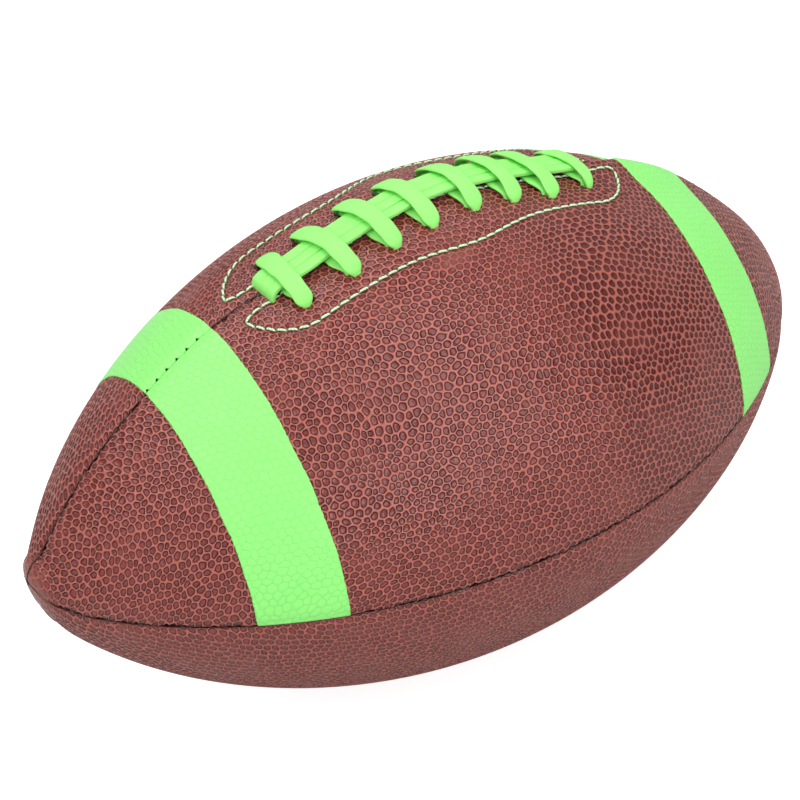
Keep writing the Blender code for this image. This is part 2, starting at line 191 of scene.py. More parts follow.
LEG_START = -0.0014
LEG_SHARE = 0.45
NEAR_FULLNESS = 2.3
FAR_FULLNESS = 2.1
FAR_POWER = 0.70
UNDER_SHARE = 0.90
NEAR_WIDTH_SHARE = 0.84
LAST_NEAR_WIDTH_SHARE = 0.66
UNDER_BACK = 0.0011
UNDER_TIP = 0.0058
UNDER_CLEARANCE = 0.0003
SWING_DEPTH = 0.0060
SWING_RISE = 0.0035
UNDER_SWING_DEPTH = 0.0020
UNDER_SWING_LOSS = 0.6
LEG_END = 0.0055
INNER_BEND = 0.0010
LACE_STEP = 0.00025
LACE_ROUNDS = 9
STRAND_STEP = 0.0005
STRAND_ROUNDS = 3
STRAND_REACH = 0.0012
STRAND_TUCK = 0.0034
STRAND_END = 0.0040
STRAND_END_WIDER = 0.00024
STRAND_TUCK_DEPTH = 0.0012
STRAND_SQUARENESS = 5.0
# How each turn lies off its even place, as the photograph shows
TURN_ALONG_MM = (0.9, -0.3, 0.2, -0.6, 0.5, 0.3, -0.9, 0.0)
TURN_ASIDE_MM = (-0.9, -1.0, -0.4, 0.0, 0.0, -0.5, -1.1, -0.8)
TURN_REACH_MM = (0.0, 0.6, 0.4, 0.3, -0.2, 0.3, 1.2, -1.4)
TURN_SWING_MM = (0.2, 2.4, 1.7, 1.6, 1.3, 0.7, 0.2, 1.0)
TURN_LEAN_DEGREES = (4.2, 0.4, -0.5, 0.3, -0.3, 0.4, 0.0, 0.0)
TURN_RISE_MM = (0.1, 0.6, 0.6, 0.2, 0.3, 0.5, 0.2, -0.2)

# Stitching of the lace pads: places along the ball and out from the top seam
STITCH_PITCH_MM = 3.2
THREAD_RADIUS = 0.00035
THREAD_FLATNESS = 0.85
THREAD_SLANT = 0.13
THREAD_RISE = 0.00022
THREAD_DIP = 0.00032
THREAD_GAP_MM = 0.24
FURROW_HALF_WIDTH_MM = 0.75
PAD_CORNER_MM = 1.6
PAD_END_MM = 2.0
PAD_TUCK_MM = 1.8
PADS = {
    "near": {"left": 64.9, "right": 64.6, "out": 22.0, "swell": 3.0, "in": 5.8},
    "far": {"left": 64.2, "right": 64.0, "out": 20.0, "swell": 8.5, "in": 4.0},
}

random.seed(7)


# Sums

def share_of(value):
    return np.clip(value, 0.0, 1.0)


def eased(value):
    share = share_of(value)
    return share * share * (3 - 2 * share)


def unit(vectors):
    """Each row of an array scaled to length 1."""
    return vectors / np.linalg.norm(vectors, axis=1, keepdims=True)


def travelled(line):
    """Distance along a line at each of its points."""
    return np.concatenate([[0], np.cumsum(np.linalg.norm(np.diff(line, axis=0), axis=1))])


def profile(tau):
    return HALF_LENGTH * np.sin(tau), BALL_RADIUS * np.cos(tau) ** RADIUS_POWER


def profile_normal(tau):
    along = BALL_RADIUS * RADIUS_POWER * np.sin(tau)
    outward = HALF_LENGTH * np.cos(tau) ** (2 - RADIUS_POWER)
    size = np.sqrt(along * along + outward * outward)
    return along / size, outward / size


def tau_at_x(x):
    return np.arcsin(np.clip(x / HALF_LENGTH, -1.0, 1.0))


def valley(x, y):
    """How far the lace draws the cover in, at a place along and across the top seam."""
    rise = eased(np.abs(x) / VALLEY_PEAK_X)
    fade = eased((VALLEY_END_X - np.abs(x)) / (VALLEY_END_X - VALLEY_PEAK_X))
    across = np.clip(y / VALLEY_HALF_WIDTH, -1.0, 1.0)
    return VALLEY_DEPTH * rise * fade * np.cos(TOP * across) ** 2


def shell(tau, angle, depth=0.0, aside=0.0):
    """Points under the cover, with the ball's middle as origin, as an array of (x, y, z)."""
    tau, angle, depth, aside = np.broadcast_arrays(tau, angle, depth, aside)
    x, radius = profile(tau)
    along, outward = profile_normal(tau)
    inner = radius - depth * outward
    angle = angle + np.arcsin(np.clip(aside / inner, -1.0, 1.0))
    corner = SEAM_CORNER * radius / BALL_RADIUS * np.cos(4 * angle)
    lift = NOSE_LIFT * share_of(1 - radius / NOSE_RADIUS) ** 2
    near_tip = share_of(1 - radius / NOSE_BLUNT_RADIUS)
    reach = inner + corner + NOSE_BLUNT * near_tip * (1 - near_tip) * (x < 0)
    reach = reach - np.where(np.sin(angle) > 0, valley(x, reach * np.cos(angle)), 0.0)
    shorter = NOSE_SHORT * share_of(1 - radius / NOSE_SHORT_RADIUS) ** 2 * (x > 0)
    return np.stack([x - depth * along - shorter, reach * np.cos(angle), reach * np.sin(angle) + lift], -1)


def world(points):
    return points + np.array([0.0, 0.0, CENTRE_HEIGHT])


# Distance along the cover from the middle of the ball, in millimetres, by station
TAU_TABLE = np.linspace(0.0, TOP, 4001)
ARC_TABLE = travelled(np.stack(profile(TAU_TABLE), 1)) * 1000


def arc_mm(tau):
    return np.sign(tau) * np.interp(np.abs(tau), TAU_TABLE, ARC_TABLE)


def tau_at_arc(arc):
    return np.sign(arc) * np.interp(np.abs(arc), ARC_TABLE, TAU_TABLE)


STRIPE_LOW, STRIPE_HIGH = (arc_mm(tau_at_x(x)) for x in (STRIPE_INNER_X, STRIPE_OUTER_X))


def field(x, y, size, seed, waves=12):
    """Smooth random values, mostly from -1 to 1, over points given in millimetres."""
    luck = np.random.default_rng(seed)
    total = np.zeros(np.broadcast(x, y).shape)
    for _ in range(waves):
        heading, start = luck.uniform(0, 2 * pi, 2)
        pace = 2 * pi / (size * luck.uniform(0.7, 1.6))
        total += np.sin(pace * (np.cos(heading) * x + np.sin(heading) * y) + start)
    return total / sqrt(waves / 2)


# Meshes

def tube_faces(count, size, start=0):
    """Faces between rings of points, with one face over each end."""
    ring, spot = np.meshgrid(np.arange(count - 1), np.arange(size), indexing="ij")
    low, beside = start + ring * size + spot, start + ring * size + (spot + 1) % size
    faces = np.stack([low, beside, beside + size, low + size], -1).reshape(-1, 4).tolist()
    faces.append(list(range(start + size - 1, start - 1, -1)))
    faces.append(list(range(start + (count - 1) * size, start + count * size)))
    return faces


def loft(name, rings):
    """Closed mesh through rings of points, given as an array of (ring, point, xyz)."""
    mesh = bpy.data.meshes.new(name)
    mesh.from_pydata(rings.reshape(-1, 3).tolist(), [], tube_faces(*rings.shape[:2]))
    mesh.validate()
    mesh.shade_smooth()
    return mesh


def linked(name, data):
    """New object in the scene."""
    item = bpy.data.objects.new(name, data)
    bpy.context.scene.collection.objects.link(item)
    return item


def add_object(name, mesh, material, slot, *replaced):
    """Put a new mesh in the scene with its material, under the root, and hide the nodes that it stands in
    for; the slot is not used.
    """
    item = linked(name, mesh)
    mesh.materials.append(material)
    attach(item, "root")
    if replaced:
        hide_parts(*replaced)
    return item


def face_out(mesh):
    """Turn the faces so that the closed mesh faces out."""
    shape = bmesh.new()
    shape.from_mesh(mesh)
    bmesh.ops.recalc_face_normals(shape, faces=shape.faces)
    if shape.calc_volume(signed=True) < 0:
        bmesh.ops.reverse_faces(shape, faces=shape.faces)
    shape.to_mesh(mesh)
    shape.free()


def store(mesh, name, values):
    """Keep a number or a vector for each vertex of a mesh."""
    values = np.asarray(values, np.float32).ravel()
    kind, key = ("FLOAT", "value") if len(values) == len(mesh.vertices) else ("FLOAT_VECTOR", "vector")
    mesh.attributes.new(name, kind, "POINT").data.foreach_set(key, values)


def bake_modifiers(item):
    """Turn what the modifiers make into the object's own mesh."""
    graph = bpy.context.evaluated_depsgraph_get()
    graph.update()
    old = item.data
    item.data = bpy.data.meshes.new_from_object(item.evaluated_get(graph), depsgraph=graph)
    item.modifiers.clear()
    item.data.name = old.name + "_shaped"


# Node trees

class Tree:
    """Short hand for building node trees."""

    def __init__(self, tree):
        self.tree = tree

    def add(self, kind, inputs=None, **settings):
        node = self.tree.nodes.new(kind)
        for key, value in settings.items():
            setattr(node, key, value)
        for key, value in (inputs or {}).items():
            self.feed(node.inputs[key], value)
        return node

    def feed(self, socket, value):
        if isinstance(value, bpy.types.NodeSocket):
            self.tree.links.new(value, socket)
        else:
            socket.default_value = value

    def sum(self, operation, *values):
        return self.add("ShaderNodeMath", dict(enumerate(values)), operation=operation).outputs[0]

    def ramp(self, value, low, high, to_low=0.0, to_high=1.0, kind="SMOOTHSTEP"):
        inputs = dict(enumerate((value, low, high, to_low, to_high)))
        return self.add("ShaderNodeMapRange", inputs, interpolation_type=kind).outputs[0]

    def mix(self, share, first, second, blend="MIX"):
        inputs = {0: share, 6: first, 7: second}
        return self.add("ShaderNodeMix", inputs, data_type="RGBA", blend_type=blend).outputs[2]

    def pick(self, share, first, second):
        return self.add("ShaderNodeMix", {0: share, 2: first, 3: second}).outputs[0]

    def attribute(self, name, output="Fac"):
        return self.add("ShaderNodeAttribute", attribute_name=name).outputs[output]

    def place(self, output="Object"):
        return self.add("ShaderNodeTexCoord").outputs[output]

    def noise(self, vector, scale, detail=2.0, roughness=0.5):
        inputs = {"Vector": vector, "Scale": scale, "Detail": detail, "Roughness": roughness}
        return self.add("ShaderNodeTexNoise", inputs).outputs[0]

    def bump(self, height, distance, strength=1.0, under=None):
        inputs = {"Height": height, "Distance": distance, "Strength": strength}
        if under is not None:
            inputs["Normal"] = under
        return self.add("ShaderNodeBump", inputs).outputs[0]

    def rays(self):
        """Whether a ray comes from the camera, and whether it comes off or through a surface."""
        path = self.add("ShaderNodeLightPath").outputs
        return path["Is Camera Ray"], self.sum("MAXIMUM", path["Is Glossy Ray"], path["Is Transmission Ray"])

    def cells(self, grain):
        """Loose honeycomb: distance to the ridges with their corners filled, to the ridges'
        middle lines, and a random number per cell.
        """
        split = self.add("ShaderNodeSeparateXYZ", {0: grain})
        x, y = split.outputs[0], split.outputs[1]
        reach, luck = [], []
        for shift in (0.0, 0.5):
            row = self.sum("ROUND", self.sum("SUBTRACT", self.sum("DIVIDE", y, ROW_SPAN), shift))
            level = self.sum("MULTIPLY_ADD", row, ROW_SPAN, shift * ROW_SPAN - CELL_STRAY)
            first = self.sum("FLOOR", self.sum("SUBTRACT", x, shift))
            for step in (0.0, 1.0):
                column = self.sum("ADD", first, step)
                key = self.add("ShaderNodeCombineXYZ", {0: column, 1: row, 2: 3.0 + 7.0 * shift})
                chance = self.add("ShaderNodeTexWhiteNoise", {"Vector": key.outputs[0]}).outputs["Color"]
                base = self.add("ShaderNodeCombineXYZ",
                                {0: self.sum("ADD", column, shift - CELL_STRAY), 1: level})
                middle = self.add("ShaderNodeVectorMath", {
                    0: chance, 1: (2 * CELL_STRAY, 2 * CELL_STRAY, 0.0), 2: base.outputs[0],
                }, operation="MULTIPLY_ADD")
                away = self.add("ShaderNodeVectorMath", {0: grain, 1: middle.outputs[0]},
                                operation="DISTANCE")
                parts = self.add("ShaderNodeSeparateXYZ", {0: chance})
                reach.append(self.sum("MULTIPLY_ADD", parts.outputs[2], -CELL_UNEVEN,
                                      away.outputs["Value"]))
                luck.append(parts.outputs[0])
        low = [self.sum("MINIMUM", reach[i], reach[i + 1]) for i in (0, 2)]
        high = [self.sum("MAXIMUM", reach[i], reach[i + 1]) for i in (0, 2)]
        nearest = self.sum("MINIMUM", *low)
        second = self.sum("MINIMUM", self.sum("MAXIMUM", *low), self.sum("MINIMUM", *high))
        line = self.sum("MULTIPLY", self.sum("SUBTRACT", second, nearest), 0.5)
        corner = self.sum("MAXIMUM", self.sum("SUBTRACT", nearest, CELL_ROUND_FROM), 0.0)
        edge = self.sum("MULTIPLY_ADD", corner, -CELL_ROUNDING, line)
        sides = [self.pick(self.sum("LESS_THAN", reach[i], reach[i + 1]), luck[i + 1], luck[i])
                 for i in (0, 2)]
        return edge, line, self.pick(self.sum("LESS_THAN", *low), sides[1], sides[0])


class Look(Tree):
    """A new material, with the tree that feeds its shader."""

    def __init__(self, name, roughness, specular):
        self.material = bpy.data.materials.new(name)
        self.material.use_nodes = True
        super().__init__(self.material.node_tree)
        self.shader = self.tree.nodes["Principled BSDF"]
        self.shader.inputs["Roughness"].default_value = roughness
        self.shader.inputs["Specular IOR Level"].default_value = specular

    def fed(self, colour, normal, roughness=None):
        """The material, fed with colour and surface, and with a roughness where that changes."""
        for key, value in (("Base Color", colour), ("Normal", normal), ("Roughness", roughness)):
            if value is not None:
                self.feed(self.shader.inputs[key], value)
        return self.material


def rgb(*levels):
    """Linear colour from the 0 to 255 values that a picture shows."""
    shares = [level / 255 for level in levels]
    return (*(s / 12.92 if s <= 0.04045 else ((s + 0.055) / 1.055) ** 2.4 for s in shares), 1.0)


# Materials

def leather_material():
    """Tanned leather pressed with a pebble grain: satin ridges round darker glossy cells, with painted shade
    in the cells' rims and over the right of the near upper panel, and painted highlights along the ridges.
    """
    tree = Look("leather", 0.42, 0.54)
    press = tree.attribute("press")
    edge, line, tint = tree.cells(tree.attribute("grain", "Vector"))
    place = tree.place()
    fine = tree.sum("SUBTRACT", tree.noise(place, 2600.0, 3.0, 0.6), 0.5)
    patch = tree.noise(place, 38.0, 2.0, 0.5)
    wobble = tree.sum("MULTIPLY_ADD", fine, 0.05, edge)
    ridge = tree.ramp(wobble, RIDGE - 0.035, RIDGE + 0.03, 1.0, 0.0)
    # Painted highlight: crest marks a thin line along the middle of each ridge
    crest = tree.ramp(tree.sum("MULTIPLY_ADD", fine, 0.03, line), 0.0, 0.040, 1.0, 0.0)
    # Painted shade: outline darkens the inside of each cell's rim, where the walls fall into shade
    outline = tree.ramp(wobble, RIM_END, FLOOR_EDGE + 0.09, 1.0, 0.0)
    shade = tree.ramp(tint, 0.0, 1.0, 0.80, 1.18, "LINEAR")
    floor = tree.mix(patch, rgb(117, 45, 42), rgb(130, 54, 51))
    grey = tree.add("ShaderNodeCombineColor", {0: shade, 1: shade, 2: shade}).outputs[0]
    floor = tree.mix(1.0, floor, grey, "MULTIPLY")
    # Painted shade of the cell walls, mixed over the floors
    ground = tree.mix(outline, floor, rgb(66, 15, 10))
    ridge_colour = tree.mix(patch, rgb(155, 72, 59), rgb(168, 82, 68))
    # Painted shade darkens the cell floors over the right of the near upper panel
    ground = tree.mix(tree.attribute("painted_shade_right"), ground, rgb(80, 20, 14))
    colour = tree.mix(ridge, ground, ridge_colour)
    # Painted highlight mixed in along the ridges' crests
    colour = tree.mix(tree.sum("MULTIPLY", crest, 0.60), colour, rgb(201, 147, 138))
    smoothed = tree.mix(patch, rgb(136, 68, 58), rgb(146, 76, 66))
    colour = tree.mix(press, smoothed, colour)
    colour = tree.mix(tree.attribute("shadow"), colour, rgb(14, 5, 4))
    rough = tree.sum("MULTIPLY_ADD", fine, 0.08, tree.pick(ridge, 0.17, 0.36))
    height = tree.sum("MULTIPLY", tree.ramp(wobble, RIDGE - 0.08, FLOOR_EDGE, 1.0, 0.0), press)
    normal = tree.bump(fine, 0.00002, 0.4, tree.bump(height, RELIEF * 1.5))
    return tree.fed(colour, normal, rough)


def film_material():
    """Soft coloured film over the grain."""
    tree = Look("film", 0.40, 0.35)
    edge, middle_line, _ = tree.cells(tree.attribute("grain", "Vector"))
    place = tree.place()
    fine = tree.noise(place, 1800.0, 3.0, 0.6)
    patch = tree.noise(place, 60.0, 2.0, 0.5)
    # Painted shade: line marks the grain's cell lines under the film, mixed in darker green below
    line = tree.ramp(middle_line, 0.0, 0.07, 1.0, 0.0)
    colour = tree.mix(patch, (0.282, 0.91, 0.196, 1), (0.315, 0.96, 0.228, 1))
    colour = tree.mix(tree.sum("MULTIPLY", line, 0.70), colour, (0.225, 0.76, 0.150, 1))
    colour = tree.mix(tree.attribute("shadow"), colour, rgb(70, 60, 30))
    normal = tree.bump(tree.ramp(edge, -0.05, 0.16), 0.00010, 0.8)
    return tree.fed(colour, tree.bump(fine, 0.00002, 0.4, normal))


def lace_material():
    """Soft coated lace: matte, faintly grained, with painted shade along its edges."""
    tree = Look("lace", 0.55, 0.3)
    place = tree.place()
    fine = tree.noise(place, 1500.0, 4.0, 0.65)
    patch = tree.noise(place, 160.0, 3.0, 0.5)
    colour = tree.mix(patch, (0.30, 0.89, 0.18, 1), (0.34, 0.94, 0.215, 1))
    # Painted shade: rim darkens the lace toward its edges, where they turn away from the light
    rim = tree.ramp(tree.sum("ABSOLUTE", tree.attribute("across")), 0.80, 1.0)
    colour = tree.mix(tree.sum("MULTIPLY", rim, 0.10), colour, (0.27, 0.78, 0.15, 1))
    normal = tree.bump(patch, 0.00016, 0.4, tree.bump(fine, 0.00004, 0.55))
    return tree.fed(colour, normal, tree.ramp(fine, 0.3, 0.7, 0.48, 0.64))


def thread_material():
    """Twisted pale thread."""
    tree = Look("thread", 0.62, 0.3)
    twist = tree.sum("MULTIPLY", tree.attribute("twist"), 2 * pi)
    ply = tree.ramp(tree.sum("SINE", twist), -1.0, 1.0)
    colour = tree.mix(ply, (0.44, 0.80, 0.38, 1), (0.80, 1.0, 0.76, 1))
    return tree.fed(colour, tree.bump(ply, 0.00008, 0.7))


def cloth_material(name, light, dark, weave):
    """Plain woven cloth with slubs in its yarn."""
    tree = Look(name, 0.9, 0.2)
    place = tree.place()
    split = tree.add("ShaderNodeSeparateXYZ", {0: place})
    yarns = [tree.sum("SINE", tree.sum("MULTIPLY", split.outputs[i], weave)) for i in (0, 1)]
    check = tree.ramp(tree.sum("MULTIPLY", *yarns), -1.0, 1.0)
    slub = tree.noise(place, 420.0, 3.0, 0.6)
    colour = tree.mix(tree.sum("MULTIPLY_ADD", check, 0.5, tree.sum("MULTIPLY", slub, 0.5)), dark, light)
    return tree.fed(colour, tree.bump(check, 0.0001, 0.6))


def rubber_material(name, light, dark, roughness):
    """Black rubber with a faint bloom."""
    tree = Look(name, roughness, 0.4)
    place = tree.place()
    bloom = tree.noise(place, 90.0, 4.0, 0.6)
    fine = tree.noise(place, 2400.0, 2.0, 0.5)
    rough = tree.ramp(bloom, 0.2, 0.8, roughness - 0.08, roughness + 0.1)
    return tree.fed(tree.mix(bloom, dark, light), tree.bump(fine, 0.00003, 0.4), rough)


LEATHER = leather_material()
FILM_LOOK = film_material()
LACE_LOOK = lace_material()
THREAD = thread_material()
LINING = cloth_material("lining", (0.80, 0.78, 0.72, 1), (0.58, 0.55, 0.49, 1), 7000.0)
CANVAS = cloth_material("canvas", (0.40, 0.30, 0.22, 1), (0.24, 0.17, 0.12, 1), 5200.0)
BLADDER = rubber_material("bladder", (0.045, 0.045, 0.045, 1), (0.022, 0.022, 0.022, 1), 0.5)
VALVE = rubber_material("valve", (0.065, 0.058, 0.052, 1), (0.038, 0.034, 0.030, 1), 0.6)


# Leather panels

def grain_points(arc, across, panel_number):
    """Where each point lies in the pattern of cells, which is warped so that they flow."""
    seed = 100 * panel_number
    turn = 0.35 + 0.5 * panel_number
    unrest = 0.015 + 0.05 * eased(0.2 + field(arc, across, 24.0, seed + 1))
    spots = []
    for i, spot in enumerate((arc * cos(turn) - across * sin(turn), arc * sin(turn) + across * cos(turn))):
        spot = spot / CELL_MM + 0.42 * field(arc, across, 75.0, seed + 2 + i)
        spot = spot + 0.09 * field(arc, across, 26.0, seed + 4 + 2 * i)
        spots.append(spot + unrest * field(arc, across, 8.0, seed + 5 + 2 * i))
    return np.stack([spots[0] + 130.0 * panel_number, spots[1], np.zeros_like(spots[0])], -1)


def puff(past_fold):
    """Swell of a panel beside its seams, in metres."""
    return SEAM_PUFF * (1 - np.exp(-(past_fold / 1.6) ** 2)) * np.exp(-(past_fold / 7.5) ** 2)


def lip(tau, past_fold, place):
    """Rise of the near upper panel's edge, and fall of the far one's, right of the lacing."""
    x = profile(tau)[0] * 1000
    reach = eased((x - LIP_FROM_X_MM) / LIP_START_MM) * eased((LIP_TO_X_MM - x) / LIP_END_MM)
    if place == "upper_near":
        return LIP_RISE * reach * np.exp(-(past_fold / LIP_NEAR_SPAN_MM) ** 2)
    return -LIP_FALL * reach * np.exp(-(past_fold / LIP_FAR_SPAN_MM) ** 2) * (place == "upper_far")


def pit(tau, past_fold, place):
    """Depth of the furrow beside the top seam that shows in the notches of the left stripe."""
    arc = -arc_mm(tau)
    reach = eased((arc - STRIPE_LOW - 1.0) / 1.5) * eased((STRIPE_HIGH - 0.6 - arc) / 0.8)
    return PIT_DEPTH * reach * np.exp(-(past_fold / PIT_SPAN_MM) ** 2) * (place == "upper_far")


def fold_start_mm(radius):
    """Distance from a seam's middle to where the leather starts to turn down."""
    return (HALF_SEAM_GAP + SEAM_ROUND * share_of(radius / SKIVED_RADIUS)) * 1000


def top_side(place):
    """Which end of a panel's angles lies at the top seam."""
    return 1 if place.endswith("far") else -1


def grain_press(place, number, arc, across):
    """How deep the grain is pressed, from 0 to 1, with a worn patch on the near upper panel."""
    whole = UPPER_PRESS if place.startswith("upper") else LOWER_PRESS
    press = np.clip(whole + 0.07 * field(arc, across, 22.0, 7 + number), 0.0, 1.0)
    if place == "upper_near":
        along = (arc - PATCH_ARC_MM) / PATCH_HALF_LENGTH_MM
        beside = (across - PATCH_ACROSS_MM) / PATCH_HALF_WIDTH_MM
        press *= 1 - PATCH_SHARE * np.exp(-along ** 2 - beside ** 2)
    return press


def panel_face(place, middle, number, tau, spread):
    """Outer face of a panel: points, places in the grain, press and shadow."""
    radius = profile(tau)[1]
    share = share_of(radius / SKIVED_RADIUS)
    angle = middle + np.linspace(1.0, -1.0, COLUMNS)[None, :] * spread[:, None]
    arc = np.repeat(arc_mm(tau)[:, None], COLUMNS, 1)
    across = (angle - middle) * radius[:, None] * 1000
    past_fold = (QUARTER * radius * 1000)[:, None] - np.abs(across) - fold_start_mm(radius)[:, None]
    top_half = across * top_side(place) > 0
    dip = stitch_dip(place, tau, angle) if place.startswith("upper") else 0.0
    rise = (lip(tau[:, None], past_fold, place) - pit(tau[:, None], past_fold, place)) * top_half
    depth = (dip * STITCH_FURROW - puff(past_fold)) * share[:, None] - rise
    press = grain_press(place, number, arc, across) * share[:, None] * (1 - 0.6 * dip)
    shade = 0.25 * (1 - eased(past_fold / 0.4)) + 0.35 * dip
    if place == "upper_far":
        covered = (-arc > STRIPE_LOW + 0.5) & (-arc < STRIPE_HIGH - 0.5) & top_half
        shade = np.where(covered & (past_fold < 1.6), 1.0, shade)
    return shell(tau[:, None], angle, depth), grain_points(arc, across, number), press, shade


def panel_fold(place, middle, number, tau, turn, spread, side):
    """Edge of a panel that turns down at a seam into the allowance, in the same four layers."""
    radius = profile(tau)[1]
    share = share_of(radius / SKIVED_RADIUS)
    at_top = side == top_side(place)
    lifted = lip(tau, 0.0, "upper_near") / LIP_RISE * (place == "upper_near") * at_top
    parts = []
    for bend in np.linspace(0.0, TOP, FOLD_STEPS)[1:]:
        aside = HALF_SEAM_GAP + turn * (1 - np.sin(bend))
        edge = side * ((spread * radius) + turn * bend) * 1000
        rise = (lip(tau, 0.0, place) - pit(tau, 0.0, place)) * at_top
        point = shell(tau, middle + side * QUARTER, turn * (1 - np.cos(bend)) - rise, -side * aside)
        shade = (0.25 + 0.65 * share * (bend / TOP) ** 1.4) * (1 - 0.9 * lifted)
        parts.append((point, grain_points(arc_mm(tau), edge, number), share * (1 - (bend / TOP) ** 3), shade))
    none, dark = np.zeros_like(share), FOLD_SHADE * (1 - 0.9 * lifted)
    for depth, aside in ((0.4, 0.0), (1.0, 0.0), (1.0, COVER_THICKNESS)):
        point = shell(tau, middle + side * QUARTER, turn + (SEAM_ALLOWANCE * share - turn) * depth,
                      -side * (HALF_SEAM_GAP + aside * share))
        parts.append((point, np.repeat(none[:, None], 3, 1), none, dark))
    return [np.stack(layer, 1) for layer in zip(*parts)]


def panel_rings(place, middle, number):
    """Rings of points round a whole panel, with what the material needs to know at each."""
    tip = np.arccos((TIP_RADIUS / BALL_RADIUS) ** (1 / RADIUS_POWER))
    tau = tau_at_arc(np.linspace(-arc_mm(tip), arc_mm(tip), ROWS))
    radius = profile(tau)[1]
    share = share_of(radius / SKIVED_RADIUS)
    turn = SEAM_ROUND * share * (1 + SEAM_UNEVEN * field(arc_mm(tau), 0.0, 5.0, 60 + number))
    spread = QUARTER - np.arcsin((HALF_SEAM_GAP + turn) / radius)
    face = panel_face(place, middle, number, tau, spread)
    folds = {side: panel_fold(place, middle, number, tau, turn, spread, side) for side in (1, -1)}
    inner_spread = QUARTER - np.arcsin(np.clip((HALF_SEAM_GAP + COVER_THICKNESS * share) / radius, 0, 0.7))
    inner_angle = middle + np.linspace(-1, 1, 10)[None, :] * inner_spread[:, None]
    inner = shell(tau[:, None], inner_angle, (COVER_THICKNESS * share)[:, None])
    flat = np.zeros(inner.shape[:2])
    columns = [face, folds[-1], (inner, np.zeros(inner.shape), flat, flat + FOLD_SHADE),
               [layer[:, ::-1] for layer in folds[1]]]
    rings, grain, press, shadow = (np.concatenate(layer, 1) for layer in zip(*columns))
    painted_shade_right = np.zeros(press.shape)
    # Painted shade over the near upper panel's face, darker toward the right nose
    if place == "upper_near":
        painted_shade_right[:, :COLUMNS] = PAINTED_SHADE_SHARE * eased((arc_mm(tau) - PAINTED_SHADE_FROM_MM) / PAINTED_SHADE_SPAN_MM)[:, None]
    return world(rings), grain, press, shadow, painted_shade_right


def relief_nodes():
    """Geometry nodes that press the same cells into the mesh that the material shows."""
    group = bpy.data.node_groups.new("grain relief", "GeometryNodeTree")
    for way in ("INPUT", "OUTPUT"):
        group.interface.new_socket("Geometry", in_out=way, socket_type="NodeSocketGeometry")
    tree = Tree(group)
    kind = "GeometryNodeInputNamedAttribute"
    grain = tree.add(kind, {"Name": "grain"}, data_type="FLOAT_VECTOR")
    press = tree.add(kind, {"Name": "press"}, data_type="FLOAT")
    edge = tree.cells(grain.outputs["Attribute"])[0]
    sunk = tree.ramp(edge, RIDGE - 0.06, FLOOR_EDGE + 0.03, 0.0, -RELIEF)
    depth = tree.sum("MULTIPLY", sunk, press.outputs["Attribute"])
    normal = tree.add("GeometryNodeInputNormal")
    offset = tree.add("ShaderNodeVectorMath", {0: normal.outputs[0], "Scale": depth}, operation="SCALE")
    inputs = {"Geometry": tree.add("NodeGroupInput").outputs[0], "Offset": offset.outputs[0]}
    tree.add("NodeGroupOutput", {0: tree.add("GeometryNodeSetPosition", inputs).outputs[0]})
    return group


RELIEF_NODES = relief_nodes()


def turn_x(number):
    return -LAST_TURN_X + LACE_PITCH * (number - 1) + TURN_ALONG_MM[number - 1] / 1000


def turn_frame(number):
    """Frame of one lace turn: origin on the top seam, Z out of the ball, Y across."""
    around = [turn_x(number) + away for away in (-0.001, 0.0, 0.001)]
    before, here, after = (Vector(world(shell(tau_at_x(x), TOP))) for x in around)
    slope = after - before
    return Matrix.Translation(here) @ Matrix.Rotation(-atan2(slope.z, slope.x), 4, "Y")


def turn_y(number):
    return LACE_CENTRE_Y + TURN_ASIDE_MM[number - 1] / 1000


def turn_reach(number, side):
    """How far out a turn goes down through the far (1) or near (-1) panel."""
    return OUTER_LEG_Y + TURN_REACH_MM[number - 1] / 1000 - (FAR_SHORTER if side > 0 else 0.0)


def mesh_of(shape, name):
    mesh = bpy.data.meshes.new(name)
    shape.to_mesh(mesh)
    shape.free()
    return mesh


def slots(side):
    """Closed blocks where the holes of one panel are punched."""
    shape = bmesh.new()
    size = Matrix.Diagonal((HOLE_WIDTH, HOLE_LENGTH, SLOT_DEPTH, 1.0))
    for number in range(1, LACE_TURNS + 1):
        across = turn_y(number) + side * (turn_reach(number, side) - HOLE_INSET)
        swing = TURN_SWING_MM[number - 1] / 1000 if side < 0 else 0.0
        place = turn_frame(number) @ Matrix.Translation((swing, across, 0.0))
        bmesh.ops.create_cube(shape, size=1.0, matrix=place @ size)
    return mesh_of(shape, "slots")


def valve_hole():
    """Closed round block where the hole for the valve is punched."""
    middle = PANELS["lower_far"]
    place = Matrix.Translation(Vector(world(shell(0.0, middle))))
    turn = Vector((0, cos(middle), sin(middle))).to_track_quat("Z", "Y").to_matrix().to_4x4()
    shape = bmesh.new()
    bmesh.ops.create_cone(shape, cap_ends=True, segments=48, radius1=VALVE_HOLE_RADIUS,
                          radius2=VALVE_HOLE_RADIUS, depth=0.02, matrix=place @ turn)
    return mesh_of(shape, "valve_hole")


def cut_out(item, mesh):
    """Take a closed block out of an object."""
    cutter = linked("cutter", mesh)
    boolean = item.modifiers.new("holes", "BOOLEAN")
    boolean.operation = "DIFFERENCE"
    boolean.solver = "EXACT"
    boolean.object = cutter
    bake_modifiers(item)
    bpy.data.objects.remove(cutter)


def flatten_belly(item):
    """Press the lowest points onto the surface that the ball lies on."""
    points = np.empty(len(item.data.vertices) * 3, np.float32)
    item.data.vertices.foreach_get("co", points)
    points[2::3] = np.maximum(points[2::3], BELLY_LEVEL)
    item.data.vertices.foreach_set("co", points)
    item.data.update()


